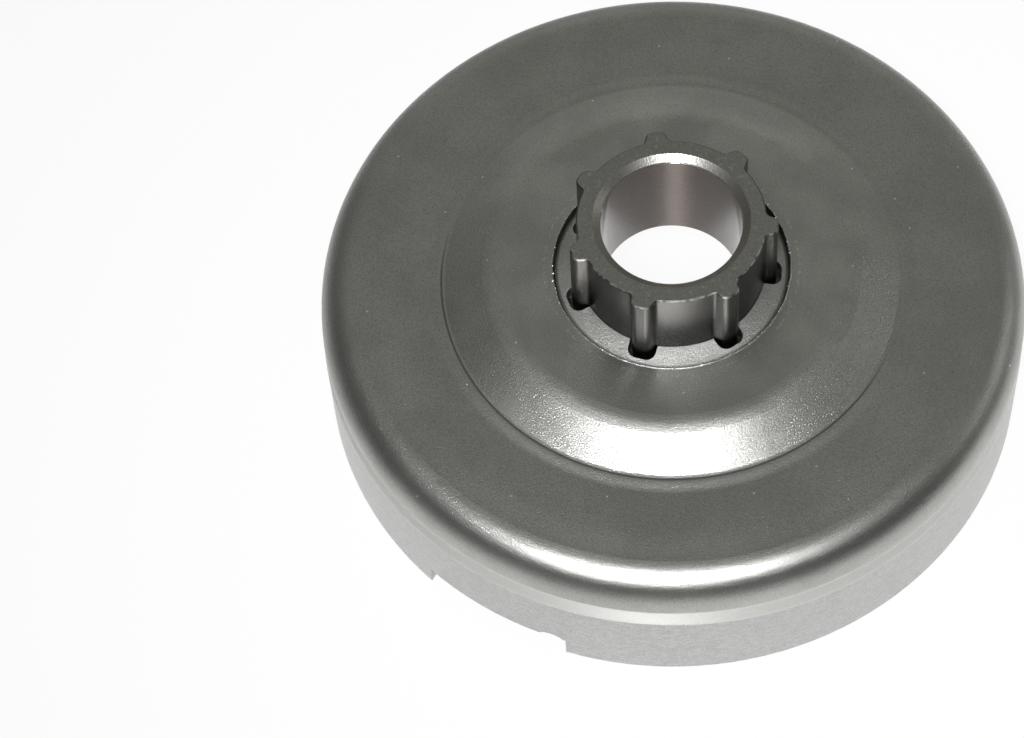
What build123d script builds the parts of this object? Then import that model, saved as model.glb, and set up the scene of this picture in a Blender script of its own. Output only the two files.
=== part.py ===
from build123d import *
import math
import os

# Chainsaw clutch drum: a pressed steel cup with a splined hub staked into its crown.
# Millimetres. +Z runs along the axis towards the hub, and the rim stands on Z = 0.
# Angles are in degrees about +Z, counted from +X.

# Cup: skirt, shoulder and flat ring of the crown
sheet_thickness = 2.25
drum_diameter = 81.5
drum_height = 18.7
shoulder_radius = 4.0
inside_corner = 1.6  # chamfer where the turned clutch wall meets the crown's underside
band_height = 3.6  # burnished band between the shoulder and the turned skirt
band_lean = 0.08  # how far the band leans in over its height
rim_edge_break = 0.2

# Cup: low dome in the middle of the crown
dome_foot_diameter = 52.6  # where the slope meets the flat ring
dome_top_diameter = 41.4  # where the slope meets the plateau
dome_height = 2.3
knee_blend = 1.1  # length of the rounding to each side of the dome's upper corner
crease_blend = 0.25  # and of its foot

# Cup: staked ring round the hub
stake_margin = 0.75  # ring left outside the spline pockets
stake_drop = 0.6  # ring's outer edge below the plateau
stake_rise = 0.5  # ring's inner edge above its outer edge
stake_step = 0.3  # width of the small slope at the ring's outer edge
pocket_side_gap = 0.2
pocket_end_gap = 0.6
pocket_corner_radius = 1.1
seat_clearance = 0.05  # spline roots to the crown's hole

# Oil pump notch in the rim
notch_width = 18.1
notch_depth = 3.1
notch_angle = -120.4
notch_relief_radius = 1.75  # round relief at the notch's driving end
notch_relief_rise = 0.7

# Hub
bore_diameter = 16.0
hub_wall = 2.7  # bore to the spline roots
hub_rise = 9.65  # top face above the plateau
bore_chamfer_width = 0.9
bore_chamfer_depth = 0.62
bore_back_chamfer = 0.45
hub_edge_break = 0.18
flange_thickness = 2.4
flange_overlap = 0.75  # flange past the staked ring, under the sheet
flange_edge_break = 0.3

# Splines
spline_count = 7
spline_height = 1.3
spline_root_width = 2.85
spline_tip_width = 1.9
spline_tip_round = 0.8
spline_root_round = 0.5
first_spline_angle = 98.5

# Places that follow from the sizes above
drum_radius = drum_diameter / 2
band_top_radius = drum_radius - band_lean
shoulder_centre_r = band_top_radius - shoulder_radius
shoulder_centre_z = drum_height - shoulder_radius
band_low_z = shoulder_centre_z - band_height
clutch_wall_radius = band_top_radius - sheet_thickness

bore_radius = bore_diameter / 2
root_radius = bore_radius + hub_wall
tip_radius = root_radius + spline_height
pocket_radius = tip_radius + pocket_end_gap
stake_radius = pocket_radius + stake_margin
flange_radius = stake_radius + flange_overlap

plateau_z = drum_height + dome_height
stake_low_z = plateau_z - stake_drop
stake_top_z = stake_low_z + stake_rise
dome_foot_radius = dome_foot_diameter / 2
dome_top_radius = dome_top_diameter / 2
dome_slope = math.atan2(dome_height, dome_foot_radius - dome_top_radius)

flange_top_z = plateau_z - sheet_thickness
hub_bottom_z = flange_top_z - flange_thickness
hub_top_z = plateau_z + hub_rise
spline_angles = [first_spline_angle + i * 360 / spline_count for i in range(spline_count)]


def blend(corner, before, after, length):
    """Rounding of a corner, between points at one length before and after it along two directions."""
    return Bezier(corner - before * length, corner, corner + after * length)


def crown_skin():
    """Outer skin of the crown from the plateau outward: knee, slope, crease, flat ring and shoulder."""
    outward = Vector(1, 0)
    down_slope = Vector(math.cos(dome_slope), -math.sin(dome_slope))
    knee = blend(Vector(dome_top_radius, plateau_z), outward, down_slope, knee_blend)
    crease = blend(Vector(dome_foot_radius, drum_height), down_slope, outward, crease_blend)
    slope = Line(knee @ 1, crease @ 0)
    shoulder = CenterArc((shoulder_centre_r, shoulder_centre_z), shoulder_radius, 90, -90)
    ring = Line(crease @ 1, shoulder @ 0)
    return knee, slope, crease, ring, shoulder


def cup_section():
    """Half section of the cup, from inside the crown's hole, which is cut later, to the rim."""
    outer = crown_skin()
    staked_ring = Polyline(
        (bore_radius, plateau_z - sheet_thickness),
        (bore_radius, stake_top_z),
        (root_radius, stake_top_z),
        (stake_radius, stake_low_z),
        (stake_radius + stake_step, plateau_z),
        outer[0] @ 0,
    )
    inner_shift = sheet_thickness * math.tan(dome_slope / 2)
    ring_underside = drum_height - sheet_thickness
    skirt_and_inside = Polyline(
        outer[-1] @ 1,
        (drum_radius, band_low_z),
        (drum_radius, rim_edge_break),
        (drum_radius - rim_edge_break, 0),
        (clutch_wall_radius + rim_edge_break, 0),
        (clutch_wall_radius, rim_edge_break),
        (clutch_wall_radius, ring_underside - inside_corner),
        (clutch_wall_radius - inside_corner, ring_underside),
        (dome_foot_radius - inner_shift, ring_underside),
        (dome_top_radius - inner_shift, plateau_z - sheet_thickness),
        staked_ring @ 0,
    )
    return Plane.XZ * make_face([*outer, *staked_ring.edges(), *skirt_and_inside.edges()])


def spline_pocket():
    """Rounded pocket that one spline passes through, on +X."""
    width = spline_root_width + 2 * pocket_side_gap
    length = pocket_radius - bore_radius
    pocket = Pos(bore_radius + length / 2, 0) * Rectangle(length, width)
    corners = pocket.vertices().sort_by(Axis.X)[-2:]
    return fillet(corners, pocket_corner_radius)


def crown_hole():
    """Outline of the hole that the hub passes through."""
    outline = Circle(root_radius + seat_clearance)
    pocket = spline_pocket()
    for angle in spline_angles:
        outline += Rot(Z=angle) * pocket
    return outline


def notch_cutter():
    """Prism that cuts the oil pump notch through the skirt, on +X."""
    wall = Plane(origin=(drum_radius, 0, 0), x_dir=(0, 1, 0), z_dir=(1, 0, 0))
    slot = Pos(0, notch_depth / 2) * Rectangle(notch_width, notch_depth)
    relief_y = notch_depth + notch_relief_rise - notch_relief_radius
    relief = Pos(notch_width / 2 - notch_relief_radius, relief_y) * Circle(notch_relief_radius)
    return extrude(wall * (slot + relief), amount=-drum_radius / 2)


def make_drum_cup():
    cup = revolve(cup_section(), Axis.Z)
    hole = Pos(0, 0, flange_top_z) * crown_hole()
    cup -= extrude(hole, amount=stake_top_z - flange_top_z)
    cup -= Rot(Z=notch_angle) * notch_cutter()
    return cup


def spline_tooth():
    """Straight-sided spline on +X, from inside the hub's wall to past the tips."""
    foot_radius = bore_radius + hub_wall / 2
    flank = (spline_root_width - spline_tip_width) / 2 / spline_height

    def half_width(radius):
        return spline_tip_width / 2 + (tip_radius - radius) * flank

    outer_radius = tip_radius + spline_tip_round
    return make_face(
        Polyline(
            (foot_radius, -half_width(foot_radius)),
            (outer_radius, -half_width(outer_radius)),
            (outer_radius, half_width(outer_radius)),
            (foot_radius, half_width(foot_radius)),
            close=True,
        )
    )


def spline_section():
    """Outline of the splined hub, with rounded tips and roots."""
    outline = Circle(root_radius)
    tooth = spline_tooth()
    for angle in spline_angles:
        outline += Rot(Z=angle) * tooth
    outline &= Circle(tip_radius)
    mid_radius = root_radius + spline_height / 2
    tips = [v for v in outline.vertices() if math.hypot(v.X, v.Y) > mid_radius]
    outline = fillet(tips, spline_tip_round)
    near_root = root_radius + spline_root_round / 2
    roots = [v for v in outline.vertices() if math.hypot(v.X, v.Y) < near_root]
    return fillet(roots, spline_root_round)


def bore_section():
    """Half section of the bore with its two chamfers."""
    return Plane.XZ * make_face(
        Polyline(
            (0, hub_bottom_z),
            (bore_radius + bore_back_chamfer, hub_bottom_z),
            (bore_radius, hub_bottom_z + bore_back_chamfer),
            (bore_radius, hub_top_z - bore_chamfer_depth),
            (bore_radius + bore_chamfer_width, hub_top_z),
            (0, hub_top_z),
            close=True,
        )
    )


def make_spline_hub():
    splines = extrude(Pos(0, 0, flange_top_z) * spline_section(), amount=hub_top_z - flange_top_z)
    top_face = splines.faces().sort_by(Axis.Z)[-1]
    splines = chamfer(top_face.outer_wire().edges(), hub_edge_break)
    flange = Pos(0, 0, hub_bottom_z) * Cylinder(
        flange_radius, flange_thickness, align=(Align.CENTER, Align.CENTER, Align.MIN)
    )
    flange = chamfer(flange.edges().filter_by(GeomType.CIRCLE), flange_edge_break)
    return splines + flange - revolve(bore_section(), Axis.Z)


def main():
    os.makedirs("parts", exist_ok=True)
    export_step(make_drum_cup(), "parts/drum_cup.step")
    export_step(make_spline_hub(), "parts/spline_hub.step")


main()
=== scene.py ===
import bpy
import math
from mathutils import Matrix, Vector


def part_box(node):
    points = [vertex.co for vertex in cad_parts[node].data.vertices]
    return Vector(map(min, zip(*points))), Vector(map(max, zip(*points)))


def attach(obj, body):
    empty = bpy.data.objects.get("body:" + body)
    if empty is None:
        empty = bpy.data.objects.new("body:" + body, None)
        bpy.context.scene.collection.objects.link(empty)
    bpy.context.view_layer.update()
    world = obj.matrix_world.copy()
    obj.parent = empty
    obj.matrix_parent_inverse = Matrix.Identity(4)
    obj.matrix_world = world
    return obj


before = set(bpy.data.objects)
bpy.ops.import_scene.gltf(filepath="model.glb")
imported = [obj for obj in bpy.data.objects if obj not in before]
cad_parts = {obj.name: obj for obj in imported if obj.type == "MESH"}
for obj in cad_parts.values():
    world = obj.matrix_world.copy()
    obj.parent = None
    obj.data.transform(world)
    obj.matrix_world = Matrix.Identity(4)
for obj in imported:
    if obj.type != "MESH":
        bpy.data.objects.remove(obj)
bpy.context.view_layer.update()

MM = 0.001

# Camera of the photograph, in metres and degrees, with its lens and sensor in millimetres
CAMERA_PLACE = (-0.00115, -0.20229, 0.35016)
CAMERA_TURN = (29.841, 2.4056, 0.92447)
CAMERA_NEAR = 0.01
CAMERA_LENS = 118.65
CAMERA_SENSOR = 36.0

# Floor, in metres: white in a painted pool of light that fades to grey further out
FLOOR_SIZE = 4.0
FLOOR_WHITE = "#F4F4F3"
FLOOR_GREY = "#5A5A59"
LIGHT_POOL_CENTRE = (0.02, -0.012, 0.0)
LIGHT_POOL_RADII = (0.045, 0.14)  # where the white starts to fade and where it has gone
PAINTED_SPOT_CENTRE = (0.0, 0.008, 0.0)  # painted light on the floor under the bore, where the flash reaches it through the bore
PAINTED_SPOT_RADII = (0.0105, 0.006)  # where that spot starts and where it is full
SEEN_WHITE = 0.94  # share of the floor that the camera sees as plain white
MIRRORED_WHITE = 0.2  # and that the metal mirrors as plain white

# Grey room round the drum
ROOM_FRONT = "#555554"
ROOM_BACK = "#868781"
ROOM_LOW_BACK = "#A8A9A3"
ROOM_LEFT = "#646462"
ROOM_LOW_FRONT = "#929290"

# Lights, in metres. A tilt is two angles in degrees from straight up, towards the viewer and to the right.
# A half span is the two angles that the light fills to each side, seen from the drum.
FLASH_TILT = (31, -4)
FLASH_DISTANCE = 0.62
FLASH_HALF_SPAN = (2.2, 4)
FLASH_RADIANCE = 235.0
GLOW_TILT = (21, -8)
GLOW_DISTANCE = 0.66
GLOW_HALF_SPAN = (26, 25)
GLOW_RADIANCE = 0.55
WINDOW_PLACE = (0.684, 0.19, 0.35)
WINDOW_SIZE = (0.22, 0.04)
WINDOW_RADIANCE = 7.0

# Places on the drum, in millimetres, some of them from the frame
PLATEAU_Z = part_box("drum_cup")[1][2] / MM
STEEL_THICKNESS = 2.25
FLANGE_TOP_Z = PLATEAU_Z - STEEL_THICKNESS
UPPER_SIDE = (19.5, 20.0)  # heights that part the crown's top from its underside
HUB_TOP_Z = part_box("spline_hub")[1][2] / MM
HUB_EDGE_BREAK = 0.18
HUB_EDGE_Z = HUB_TOP_Z - HUB_EDGE_BREAK
HUB_WALL_RADIUS = 10.7
HUB_WALL_PAINTED_SHADE = (PLATEAU_Z + 0.5, PLATEAU_Z + 7.0)  # heights between which the painted shade at the wall's foot turns lighter
EDGE_HIGHLIGHT_FADE = (2.0, -6.0)  # depths between which the painted highlight on the top edge sets in, towards the front
BORE_RADIUS = 8.0
STAKE_RADIUS = 13.35
STAKE_STEP = 0.3  # width of the small slope round the staked ring
TOOL_MARK_RADIUS = 14.6  # faint circle that the staking tool left
DOME_RADII = (21.0, 27.0)  # dome's slope, from its top to past its foot
CREASE_RADIUS = 26.5
CREASE_SHADE_LEAN = 0.35  # how much the painted shade in the crease keeps to the left
CREASE_SHADE_FADE = (0.0, -10.0)  # depths between which that painted shade sets in, towards the front
SKIRT_RADIUS = 40.0  # between the skirt's inside and its outside
BAND_LOW_Z = 11.1
BAND_HIGH_Z = 13.9
BAND_FADE = 0.15  # half the width over which the band's edges fade

# Gentle falls of the crown, each from a radius to a radius by a depth:
# the staked ring, the flat ring outside the crease and the start of the shoulder
SOFT_FALLS = ((10.6, 13.4, 0.15), (26.5, 28.3, 0.2), (33.0, 37.0, 0.1))

# Patterns of the finishes, in millimetres. Grain, pits and tool lines are drawn several times as coarse
# as real ones, which are too fine to show.
GRAIN_SIZE = 0.15
GRAIN_HEIGHT = 0.033
PIT_SPACING = 0.28
PIT_DEPTH = 0.014
CRUSH_SIZE = 0.3
CRUSH_HEIGHT = 0.045
TURNING_LINE = (0.2, 6.67)  # width and length of the lines
TURNING_HEIGHT = 0.012
STAIN_LINE = (0.3, 1.0)
BLOTCH_SIZE = 7.0
TOOL_MARK_GRAIN = 0.45
SPECK_SPACING = 13.0
SPECK_RADIUS = 0.16
HUB_GRAIN_SIZE = 0.22
HUB_GRAIN_HEIGHT = 0.022
BORE_GRAIN_LOSS = 0.01  # how much lower the grain is in the bore
HONING_LINE = (0.15, 1.9)
HONING_HEIGHT = 0.09
FLECK_SIZE = 0.6
EDGE_HIGHLIGHT_BREAKUP_SIZE = 0.9
TEAR_SIZE = 0.12
TEAR_HEIGHT = 0.04
LAY_TURN = 0.25  # quarter turn that lays the turned and honed gloss round the axis

# Burr round the staked ring
BURR_THICKNESS = 0.18  # millimetres
BURR_STEPS = 260
BURR_SIDES = 6
BURR_WAVES = 900.0  # uneven swings in a metre
BURR_NIBS = 170
BURR_SEED = 7
NIB_SMALLEST = (0.2, 0.2, 0.2)  # times the burr's thickness
NIB_LARGEST = (1.3, 1.3, 0.8)
NIB_TURN = (6.28, 6.28, 6.28)  # most that a nib is turned about each axis, in radians


def linear(code):
    """Linear RGBA of an sRGB hex colour."""
    values = [int(code[i:i + 2], 16) / 255 for i in (1, 3, 5)]
    return [v / 12.92 if v <= 0.04045 else ((v + 0.055) / 1.055) ** 2.4 for v in values] + [1.0]


def add_node(tree, kind, inputs=None, **settings):
    """Adds one node, with its settings and with values or links on its inputs."""
    made = tree.nodes.new(kind)
    for name, value in settings.items():
        setattr(made, name, value)
    for key, value in (inputs or {}).items():
        if isinstance(value, bpy.types.NodeSocket):
            tree.links.new(value, made.inputs[key])
        else:
            made.inputs[key].default_value = value
    return made


def new_material(name):
    """Empty material and its node tree."""
    material = bpy.data.materials.new(name)
    material.use_nodes = True
    material.node_tree.nodes.clear()
    return material, material.node_tree


def millimetres(tree):
    """Object coordinates counted in millimetres, and the radius from the drum's axis."""
    place = add_node(tree, "ShaderNodeTexCoord").outputs["Object"]
    scaled = add_node(tree, "ShaderNodeMapping", {"Vector": place, "Scale": (1 / MM, 1 / MM, 1 / MM)})
    vector = scaled.outputs["Vector"]
    flat = add_node(tree, "ShaderNodeVectorMath", {0: vector, 1: (1, 1, 0)}, operation="MULTIPLY")
    radius = add_node(tree, "ShaderNodeVectorMath", {0: flat.outputs[0]}, operation="LENGTH")
    return vector, radius.outputs["Value"]


def zone(tree, *edges, share=1.0):
    """Part of a surface inside soft edges, each a value with where the zone starts and where it is full."""
    for value, start, full in edges:
        edge = add_node(tree, "ShaderNodeMapRange", {"Value": value, "From Min": start, "From Max": full},
                        interpolation_type="SMOOTHSTEP")
        inside = add_node(tree, "ShaderNodeMath", {0: edge.outputs["Result"], 1: share}, operation="MULTIPLY")
        share = inside.outputs[0]
    return share


def thin_line(value, middle, half_width):
    """Soft edges of a thin line, for a zone."""
    return (value, middle - half_width, middle), (value, middle + half_width, middle)


def lines_round_axis(tree, place, width_and_length, detail, roughness):
    """Fine level lines, as a cutting tool leaves them round the axis."""
    width, length = width_and_length
    drawn_out = add_node(tree, "ShaderNodeMapping", {
        "Vector": place, "Scale": (1 / length, 1 / length, 1 / width)})
    lines = add_node(tree, "ShaderNodeTexNoise", {
        "Vector": drawn_out.outputs["Vector"], "Scale": 1.0, "Detail": detail, "Roughness": roughness})
    return lines.outputs["Fac"]


def painted(tree, base, layers):
    """Colour of a surface: a base with layers over it, each with where it is, its strength and its colour."""
    colour = linear(base)
    for where, strength, code in layers:
        share = add_node(tree, "ShaderNodeMath", {0: where, 1: strength}, operation="MULTIPLY")
        layer = add_node(tree, "ShaderNodeMix", {0: share.outputs[0], 6: colour, 7: linear(code)},
                         data_type="RGBA")
        colour = layer.outputs[2]
    return colour


def raised(tree, patterns):
    """Normal of a surface that patterns raise, each with where it is and its height in millimetres."""
    total = 0.0
    for pattern, where, height in patterns:
        part = add_node(tree, "ShaderNodeMath", {0: pattern, 1: where}, operation="MULTIPLY")
        summed = add_node(tree, "ShaderNodeMath", {0: part.outputs[0], 1: height, 2: total},
                          operation="MULTIPLY_ADD")
        total = summed.outputs[0]
    bump = add_node(tree, "ShaderNodeBump", {"Height": total, "Strength": 1.0, "Distance": MM})
    return bump.outputs["Normal"]


def drawn_steel():
    """Deep-drawn and tumbled steel sheet: fine matt grain, with a crushed staked ring and a turned skirt.

    The eye gets a soft grey sheen with a tight glitter, painted dark shade in the front of the crease,
    and a burnished band under the shoulder, painted lighter for its sheen, with painted edge highlights.
    """
    material, tree = new_material("drawn_steel")
    place, radius = millimetres(tree)
    axes = add_node(tree, "ShaderNodeSeparateXYZ", {0: place}).outputs
    height = axes["Z"]

    on_skirt = zone(tree, (radius, SKIRT_RADIUS - 0.2, SKIRT_RADIUS + 0.2))
    on_crown = zone(tree, (radius, SKIRT_RADIUS + 0.2, SKIRT_RADIUS - 0.2))
    turned = zone(tree, (height, BAND_HIGH_Z + BAND_FADE, BAND_HIGH_Z - BAND_FADE), share=on_skirt)
    band = zone(tree, (height, BAND_LOW_Z - BAND_FADE, BAND_LOW_Z + BAND_FADE), share=turned)
    below_band = zone(tree, (height, BAND_LOW_Z + BAND_FADE, BAND_LOW_Z - BAND_FADE), share=turned)
    staked = zone(tree, (radius, STAKE_RADIUS + 0.1, STAKE_RADIUS - 0.1), (height, *UPPER_SIDE))

    grain = add_node(tree, "ShaderNodeTexNoise", {
        "Vector": place, "Scale": 1 / GRAIN_SIZE, "Detail": 3.0, "Roughness": 0.7}).outputs["Fac"]
    crush = add_node(tree, "ShaderNodeTexNoise", {
        "Vector": place, "Scale": 1 / CRUSH_SIZE, "Detail": 3.0, "Roughness": 0.6}).outputs["Fac"]
    blotches = add_node(tree, "ShaderNodeTexNoise", {
        "Vector": place, "Scale": 1 / BLOTCH_SIZE, "Detail": 3.0, "Roughness": 0.5}).outputs["Fac"]
    broken = add_node(tree, "ShaderNodeTexNoise", {
        "Vector": place, "Scale": 1 / TOOL_MARK_GRAIN, "Detail": 2.0, "Roughness": 0.5}).outputs["Fac"]
    grooves = lines_round_axis(tree, place, TURNING_LINE, 3.0, 0.6)
    stain = lines_round_axis(tree, place, STAIN_LINE, 2.0, 0.5)
    pits = add_node(tree, "ShaderNodeTexVoronoi", {"Vector": place, "Scale": 1 / PIT_SPACING})
    dings = add_node(tree, "ShaderNodeTexVoronoi", {"Vector": place, "Scale": 1 / SPECK_SPACING},
                     voronoi_dimensions="2D")
    ding_edge = SPECK_RADIUS / SPECK_SPACING

    falls = [(zone(tree, (radius, inner, outer)), 1.0, -drop) for inner, outer, drop in SOFT_FALLS]
    normal = raised(tree, [
        (grain, 1.0, GRAIN_HEIGHT),
        (zone(tree, (pits.outputs["Distance"], 0.4, 0.0)), 1.0, -PIT_DEPTH),
        (grooves, turned, TURNING_HEIGHT),
        (crush, staked, CRUSH_HEIGHT),
        *falls,
    ])

    # Painted shade: a dark line along the crease, strongest at the front and towards the left
    crease_shade_side = add_node(tree, "ShaderNodeMath", {0: axes["X"], 1: CREASE_SHADE_LEAN, 2: axes["Y"]},
                          operation="MULTIPLY_ADD")
    painted_crease_shade = zone(tree, *thin_line(radius, CREASE_RADIUS, 0.2), (crease_shade_side.outputs[0], *CREASE_SHADE_FADE))
    seam = zone(tree, (radius, STAKE_RADIUS - 0.45, STAKE_RADIUS - 0.15),
                (radius, STAKE_RADIUS + STAKE_STEP, STAKE_RADIUS + 0.2), (height, *UPPER_SIDE))
    tool_mark = zone(tree, *thin_line(radius, TOOL_MARK_RADIUS, 0.25), (broken, 0.52, 0.66))
    band_edges = (BAND_LOW_Z, BAND_HIGH_Z)
    # Painted highlights: thin light lines along the band's two edges
    band_edge_highlights = [zone(tree, *thin_line(height, edge, 0.2), share=on_skirt) for edge in band_edges]
    specks = zone(tree, (dings.outputs["Distance"], ding_edge, 0.4 * ding_edge), share=on_crown)
    grain_strength = add_node(tree, "ShaderNodeMath", {0: band, 1: -0.5, 2: 0.75}, operation="MULTIPLY_ADD")
    colour = painted(tree, "#B2B2AF", [
        (zone(tree, (blotches, 0.3, 0.7)), 1.0, "#C6C6C3"),
        (zone(tree, (radius, *DOME_RADII)), 0.5, "#AEAEAB"),
        # painted shade in the crease
        (painted_crease_shade, 0.8, "#3C3C3B"),
        (seam, 0.75, "#424240"),
        (tool_mark, 0.6, "#F0F0EC"),
        (turned, 0.85, "#C8C8C9"),
        (zone(tree, (grooves, 0.5, 0.8)), turned, "#C6C6C4"),
        # burnished band, its colour painted lighter for the sheen it catches, then painted highlight lines on
        # its edges
        (band, 0.8, "#E6E6E3"),
        *((line, 0.7, "#E6E6E3") for line in band_edge_highlights),
        (zone(tree, (stain, 0.6, 0.4), share=below_band), 0.25, "#8A8A8B"),
        (zone(tree, (grain, 0.6, 0.25)), grain_strength.outputs[0], "#808080"),
        (specks, 1.0, "#F2F2EE"),
    ])

    roughness = add_node(tree, "ShaderNodeMath", {0: staked, 1: 0.08, 2: 0.28}, operation="MULTIPLY_ADD")
    roughness = add_node(tree, "ShaderNodeMath", {0: band, 1: 0.05, 2: roughness.outputs[0]},
                         operation="MULTIPLY_ADD")
    tangent = add_node(tree, "ShaderNodeTangent", direction_type="RADIAL", axis="Z")
    shader = add_node(tree, "ShaderNodeBsdfPrincipled", {
        "Base Color": colour,
        "Metallic": 1.0,
        "Roughness": roughness.outputs[0],
        "Anisotropic": band,
        "Anisotropic Rotation": LAY_TURN,
        "Tangent": tangent.outputs["Tangent"],
        "Normal": normal,
    })
    add_node(tree, "ShaderNodeOutputMaterial", {"Surface": shader.outputs["BSDF"]})
    return material


def hub_steel():
    """Turned and hardened hub steel: dull dark satin walls with painted shade at their foot, lighter on the
    faced top.

    The eye gets a painted highlight along the front of the top edge, and a bore that is browned, honed and
    oiled.
    """
    material, tree = new_material("hub_steel")
    place, radius = millimetres(tree)
    axes = add_node(tree, "ShaderNodeSeparateXYZ", {0: place}).outputs
    height = axes["Z"]

    in_bore = zone(tree, (radius, BORE_RADIUS + 0.1, BORE_RADIUS + 0.02))
    outer_wall = zone(tree, (radius, HUB_WALL_RADIUS - 0.6, HUB_WALL_RADIUS - 0.2),
                      (height, HUB_EDGE_Z, HUB_EDGE_Z - 0.05))
    on_top = zone(tree, (height, HUB_TOP_Z - 0.05, HUB_TOP_Z - 0.01))

    grain = add_node(tree, "ShaderNodeTexNoise", {
        "Vector": place, "Scale": 1 / HUB_GRAIN_SIZE, "Detail": 2.0, "Roughness": 0.6}).outputs["Fac"]
    flecks = add_node(tree, "ShaderNodeTexNoise", {
        "Vector": place, "Scale": 1 / FLECK_SIZE, "Detail": 3.0, "Roughness": 0.6}).outputs["Fac"]
    highlight_breakup = add_node(tree, "ShaderNodeTexNoise", {
        "Vector": place, "Scale": 1 / EDGE_HIGHLIGHT_BREAKUP_SIZE, "Detail": 2.0, "Roughness": 0.5}).outputs["Fac"]
    honing = lines_round_axis(tree, place, HONING_LINE, 2.0, 0.6)

    normal = raised(tree, [
        (grain, 1.0, HUB_GRAIN_HEIGHT),
        (grain, in_bore, -BORE_GRAIN_LOSS),
        (honing, in_bore, HONING_HEIGHT),
    ])
    # Painted highlight: bright broken dashes along the front of the top edge, where it faces the light
    painted_edge_highlight = zone(
        tree,
        (height, HUB_EDGE_Z - 0.02, HUB_EDGE_Z + 0.02),
        (height, HUB_TOP_Z - 0.001, HUB_TOP_Z - 0.03),
        (radius, HUB_WALL_RADIUS - 1.0, HUB_WALL_RADIUS - 0.6),
        (axes["Y"], *EDGE_HIGHLIGHT_FADE),
        (highlight_breakup, 0.4, 0.6),
    )
    colour = painted(tree, "#313130", [
        # painted shade: the wall is darkest at its foot and turns lighter upwards
        (zone(tree, (height, *HUB_WALL_PAINTED_SHADE)), 1.0, "#5E5D5B"),
        (zone(tree, (radius, HUB_WALL_RADIUS - 0.6, HUB_WALL_RADIUS - 1.0)), 1.0, "#9C9A96"),
        (zone(tree, (height, FLANGE_TOP_Z + 0.5, FLANGE_TOP_Z)), 1.0, "#7A7976"),
        (on_top, 1.0, "#9C9B98"),
        (zone(tree, (grain, 0.55, 0.3)), 0.4, "#6C6B68"),
        (in_bore, 1.0, "#9A908A"),
        (zone(tree, (flecks, 0.56, 0.7), share=on_top), 0.35, "#D4D4D0"),
        # painted highlight on the front of the top edge
        (painted_edge_highlight, 0.8, "#E0E0DC"),
    ])

    roughness = add_node(tree, "ShaderNodeMath", {0: outer_wall, 1: -0.08, 2: 0.38}, operation="MULTIPLY_ADD")
    roughness = add_node(tree, "ShaderNodeMath", {0: in_bore, 1: -0.08, 2: roughness.outputs[0]},
                         operation="MULTIPLY_ADD")
    tool_lay = add_node(tree, "ShaderNodeMath", {0: outer_wall, 1: 0.4, 2: in_bore}, operation="MULTIPLY_ADD")
    tangent = add_node(tree, "ShaderNodeTangent", direction_type="RADIAL", axis="Z")
    shader = add_node(tree, "ShaderNodeBsdfPrincipled", {
        "Base Color": colour,
        "Metallic": 1.0,
        "Roughness": roughness.outputs[0],
        "Anisotropic": tool_lay.outputs[0],
        "Anisotropic Rotation": LAY_TURN,
        "Tangent": tangent.outputs["Tangent"],
        "Coat Weight": in_bore,
        "Coat Roughness": 0.1,
        "Normal": normal,
    })
    add_node(tree, "ShaderNodeOutputMaterial", {"Surface": shader.outputs["BSDF"]})
    return material


def torn_steel():
    """Torn edge of the staked sheet: fresh metal, coarse and uneven, that glints in single bright points."""
    material, tree = new_material("torn_steel")
    place = millimetres(tree)[0]
    tear = add_node(tree, "ShaderNodeTexNoise", {
        "Vector": place, "Scale": 1 / TEAR_SIZE, "Detail": 2.0, "Roughness": 0.6}).outputs["Fac"]
    shader = add_node(tree, "ShaderNodeBsdfPrincipled", {
        "Base Color": painted(tree, "#A2A29F", [(zone(tree, (tear, 0.35, 0.65)), 1.0, "#EFEFEB")]),
        "Metallic": 1.0,
        "Roughness": 0.34,
        "Normal": raised(tree, [(tear, 1.0, TEAR_HEIGHT)]),
    })
    add_node(tree, "ShaderNodeOutputMaterial", {"Surface": shader.outputs["BSDF"]})
    return material


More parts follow.
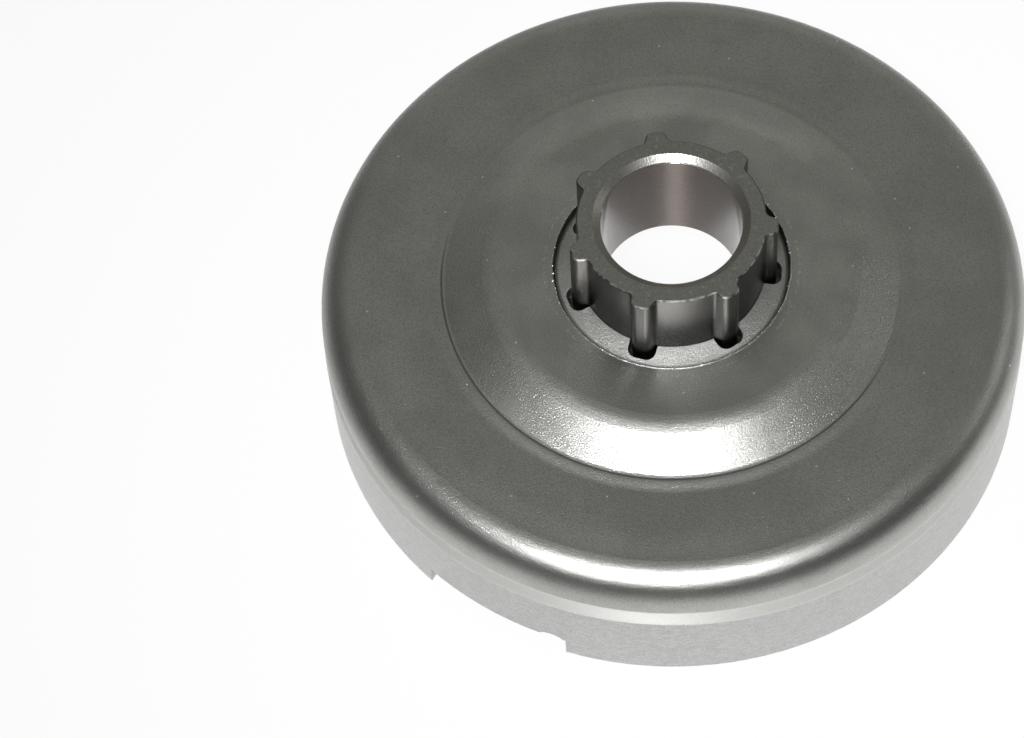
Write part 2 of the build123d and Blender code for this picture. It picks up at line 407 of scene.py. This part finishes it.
def burr_tree(material):
    """Geometry Nodes tree of the burr: a thin uneven ridge round a circle, with torn nibs along it."""
    tree = bpy.data.node_groups.new("stake_burr", "GeometryNodeTree")
    sockets = {}
    for name, kind in (
        ("Radius", "NodeSocketFloat"),
        ("Height", "NodeSocketFloat"),
        ("Thickness", "NodeSocketFloat"),
        ("Nibs", "NodeSocketInt"),
        ("Seed", "NodeSocketInt"),
    ):
        sockets[name] = tree.interface.new_socket(name, in_out="INPUT", socket_type=kind).identifier
    tree.interface.new_socket("Geometry", in_out="OUTPUT", socket_type="NodeSocketGeometry")
    given = add_node(tree, "NodeGroupInput").outputs

    circle = add_node(tree, "GeometryNodeCurvePrimitiveCircle", {
        "Resolution": BURR_STEPS, "Radius": given["Radius"]})
    place = add_node(tree, "GeometryNodeInputPosition").outputs["Position"]
    wobble = add_node(tree, "ShaderNodeTexNoise", {"Vector": place, "Scale": BURR_WAVES, "Detail": 2.0})
    centred = add_node(tree, "ShaderNodeVectorMath", {0: wobble.outputs["Color"], 1: (0.5, 0.5, 0.5)},
                       operation="SUBTRACT")
    sway = add_node(tree, "ShaderNodeVectorMath", {0: centred.outputs[0], "Scale": given["Thickness"]},
                    operation="SCALE")
    lift = add_node(tree, "ShaderNodeCombineXYZ", {"Z": given["Height"]})
    shift = add_node(tree, "ShaderNodeVectorMath", {0: sway.outputs[0], 1: lift.outputs[0]}, operation="ADD")
    path = add_node(tree, "GeometryNodeSetPosition", {
        "Geometry": circle.outputs["Curve"], "Offset": shift.outputs[0]})

    half_thick = add_node(tree, "ShaderNodeMath", {0: given["Thickness"], 1: 0.5}, operation="MULTIPLY")
    section = add_node(tree, "GeometryNodeCurvePrimitiveCircle", {
        "Resolution": BURR_SIDES, "Radius": half_thick.outputs[0]})
    ridge = add_node(tree, "GeometryNodeCurveToMesh", {
        "Curve": path.outputs["Geometry"], "Profile Curve": section.outputs["Curve"]})

    points = add_node(tree, "GeometryNodeCurveToPoints", {
        "Curve": path.outputs["Geometry"], "Count": given["Nibs"]})
    nib = add_node(tree, "GeometryNodeMeshIcoSphere", {"Radius": given["Thickness"], "Subdivisions": 1})
    size = add_node(tree, "FunctionNodeRandomValue", {
        "Min": NIB_SMALLEST, "Max": NIB_LARGEST, "Seed": given["Seed"]}, data_type="FLOAT_VECTOR")
    turn = add_node(tree, "FunctionNodeRandomValue", {
        "Max": NIB_TURN, "Seed": given["Seed"]}, data_type="FLOAT_VECTOR")
    nibs = add_node(tree, "GeometryNodeInstanceOnPoints", {
        "Points": points.outputs["Points"],
        "Instance": nib.outputs["Mesh"],
        "Rotation": turn.outputs["Value"],
        "Scale": size.outputs["Value"],
    })

    joined = add_node(tree, "GeometryNodeJoinGeometry")
    tree.links.new(ridge.outputs["Mesh"], joined.inputs["Geometry"])
    tree.links.new(nibs.outputs["Instances"], joined.inputs["Geometry"])
    real = add_node(tree, "GeometryNodeRealizeInstances", {"Geometry": joined.outputs["Geometry"]})
    dressed = add_node(tree, "GeometryNodeSetMaterial", {
        "Geometry": real.outputs["Geometry"], "Material": material})
    add_node(tree, "NodeGroupOutput", {"Geometry": dressed.outputs["Geometry"]})
    return tree, sockets


def add_stake_burr(material):
    """Burr that the staking tool raised round the staked ring."""
    burr = bpy.data.objects.new("stake_burr", bpy.data.meshes.new("stake_burr"))
    bpy.context.scene.collection.objects.link(burr)
    tree, sockets = burr_tree(material)
    grow = burr.modifiers.new("burr", "NODES")
    grow.node_group = tree
    sizes = {
        "Radius": (STAKE_RADIUS + STAKE_STEP) * MM,
        "Height": PLATEAU_Z * MM,
        "Thickness": BURR_THICKNESS * MM,
        "Nibs": BURR_NIBS,
        "Seed": BURR_SEED,
    }
    for name, value in sizes.items():
        grow[sockets[name]] = value
    depsgraph = bpy.context.evaluated_depsgraph_get()
    mesh = bpy.data.meshes.new_from_object(burr.evaluated_get(depsgraph))
    burr.modifiers.remove(grow)
    burr.data = mesh
    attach(burr, "root")


def white_table():
    """Matt floor, white in a painted pool of light that fades to grey: plain white to the eye, keeping a
    shadow.
    """
    material, tree = new_material("white_table")
    place = add_node(tree, "ShaderNodeTexCoord").outputs["Object"]
    from_pool_centre = add_node(tree, "ShaderNodeVectorMath", {0: place, 1: LIGHT_POOL_CENTRE}, operation="DISTANCE")
    from_spot = add_node(tree, "ShaderNodeVectorMath", {0: place, 1: PAINTED_SPOT_CENTRE}, operation="DISTANCE")
    # Painted pool of light: the floor's colour fades from white to grey away from its centre
    past_light_pool = zone(tree, (from_pool_centre.outputs["Value"], *LIGHT_POOL_RADII))
    # Painted light: a glowing spot on the floor under the bore, which only the metal's reflections see
    painted_light_spot = zone(tree, (from_spot.outputs["Value"], *PAINTED_SPOT_RADII), share=1 - MIRRORED_WHITE)

    path = add_node(tree, "ShaderNodeLightPath").outputs
    seen = add_node(tree, "ShaderNodeMath", {0: path["Is Camera Ray"], 1: path["Is Transmission Ray"]},
                    operation="MAXIMUM")
    glow = add_node(tree, "ShaderNodeMath", {0: painted_light_spot, 1: MIRRORED_WHITE}, operation="ADD")
    mirrored = add_node(tree, "ShaderNodeMath", {0: glow.outputs[0], 1: path["Is Glossy Ray"]},
                        operation="MULTIPLY")
    plain_share = add_node(tree, "ShaderNodeMath", {
        0: seen.outputs[0], 1: SEEN_WHITE, 2: mirrored.outputs[0]}, operation="MULTIPLY_ADD")

    matt = add_node(tree, "ShaderNodeBsdfDiffuse", {
        "Color": painted(tree, FLOOR_WHITE, [(past_light_pool, 1.0, FLOOR_GREY)])})
    plain = add_node(tree, "ShaderNodeEmission", {"Color": (1, 1, 1, 1), "Strength": 1.0})
    mixed = add_node(tree, "ShaderNodeMixShader", {
        "Fac": plain_share.outputs[0], 1: matt.outputs["BSDF"], 2: plain.outputs["Emission"]})
    add_node(tree, "ShaderNodeOutputMaterial", {"Surface": mixed.outputs["Shader"]})
    return material


def add_floor():
    half = FLOOR_SIZE / 2
    corners = [(-half, -half, 0), (half, -half, 0), (half, half, 0), (-half, half, 0)]
    mesh = bpy.data.meshes.new("floor")
    mesh.from_pydata(corners, [], [(0, 1, 2, 3)])
    mesh.materials.append(white_table())
    floor = bpy.data.objects.new("floor", mesh)
    bpy.context.scene.collection.objects.link(floor)


def overhead(tilt, distance):
    """Place over the drum at a distance, tipped towards the viewer and towards the right."""
    front, right = [math.tan(math.radians(angle)) for angle in tilt]
    return Vector((right, -front, 1.0)).normalized() * distance


def filling(half_span, distance):
    """Width and height that fill two angles to both sides at a distance."""
    return [2 * distance * math.tan(math.radians(angle)) for angle in half_span]


def add_area_light(name, place, size, radiance):
    """Rectangular soft light, aimed at the drum, whose face has the given radiance."""
    lamp = bpy.data.lights.new(name, "AREA")
    lamp.shape = "RECTANGLE"
    lamp.size, lamp.size_y = size
    lamp.energy = radiance * math.pi * size[0] * size[1]
    light = bpy.data.objects.new(name, lamp)
    light.location = place
    light.rotation_euler = (-place).to_track_quat("-Z", "Y").to_euler()
    light.visible_camera = False
    bpy.context.scene.collection.objects.link(light)


def add_lights():
    add_area_light("flash", overhead(FLASH_TILT, FLASH_DISTANCE), filling(FLASH_HALF_SPAN, FLASH_DISTANCE),
                   FLASH_RADIANCE)
    add_area_light("ceiling_glow", overhead(GLOW_TILT, GLOW_DISTANCE), filling(GLOW_HALF_SPAN, GLOW_DISTANCE),
                   GLOW_RADIANCE)
    add_area_light("window_strip", Vector(WINDOW_PLACE), WINDOW_SIZE, WINDOW_RADIANCE)


def add_world():
    """Grey room, darker at the front and the left, lighter near the horizon at the back and the front."""
    world = bpy.data.worlds.new("room")
    world.use_nodes = True
    tree = world.node_tree
    tree.nodes.clear()
    way = add_node(tree, "ShaderNodeTexCoord").outputs["Generated"]
    axes = add_node(tree, "ShaderNodeSeparateXYZ", {0: way}).outputs
    grey = painted(tree, ROOM_FRONT, [
        (zone(tree, (axes["Y"], -0.5, 0.3)), 1.0, ROOM_BACK),
        (zone(tree, (axes["Y"], 0.6, 1.0)), 1.0, ROOM_LOW_BACK),
        (zone(tree, (axes["X"], -0.3, -0.95)), 1.0, ROOM_LEFT),
        (zone(tree, (axes["Y"], -0.4, -0.9), (axes["Z"], 0.3, 0.1)), 1.0, ROOM_LOW_FRONT),
    ])
    room = add_node(tree, "ShaderNodeBackground", {"Color": grey, "Strength": 1.0})
    add_node(tree, "ShaderNodeOutputWorld", {"Surface": room.outputs["Background"]})
    bpy.context.scene.world = world


def add_camera():
    lens = bpy.data.cameras.new("camera")
    lens.lens = CAMERA_LENS
    lens.sensor_width = CAMERA_SENSOR
    lens.clip_start = CAMERA_NEAR
    camera = bpy.data.objects.new("camera", lens)
    camera.location = CAMERA_PLACE
    camera.rotation_euler = [math.radians(a) for a in CAMERA_TURN]
    bpy.context.scene.collection.objects.link(camera)
    bpy.context.scene.camera = camera


def dress(node, material):
    """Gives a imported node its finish."""
    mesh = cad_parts[node].data
    mesh.materials.clear()
    mesh.materials.append(material)


dress("drum_cup", drawn_steel())
dress("spline_hub", hub_steel())
add_stake_burr(torn_steel())
add_floor()
add_lights()
add_world()
add_camera()
bpy.context.scene.view_settings.view_transform = "Standard"
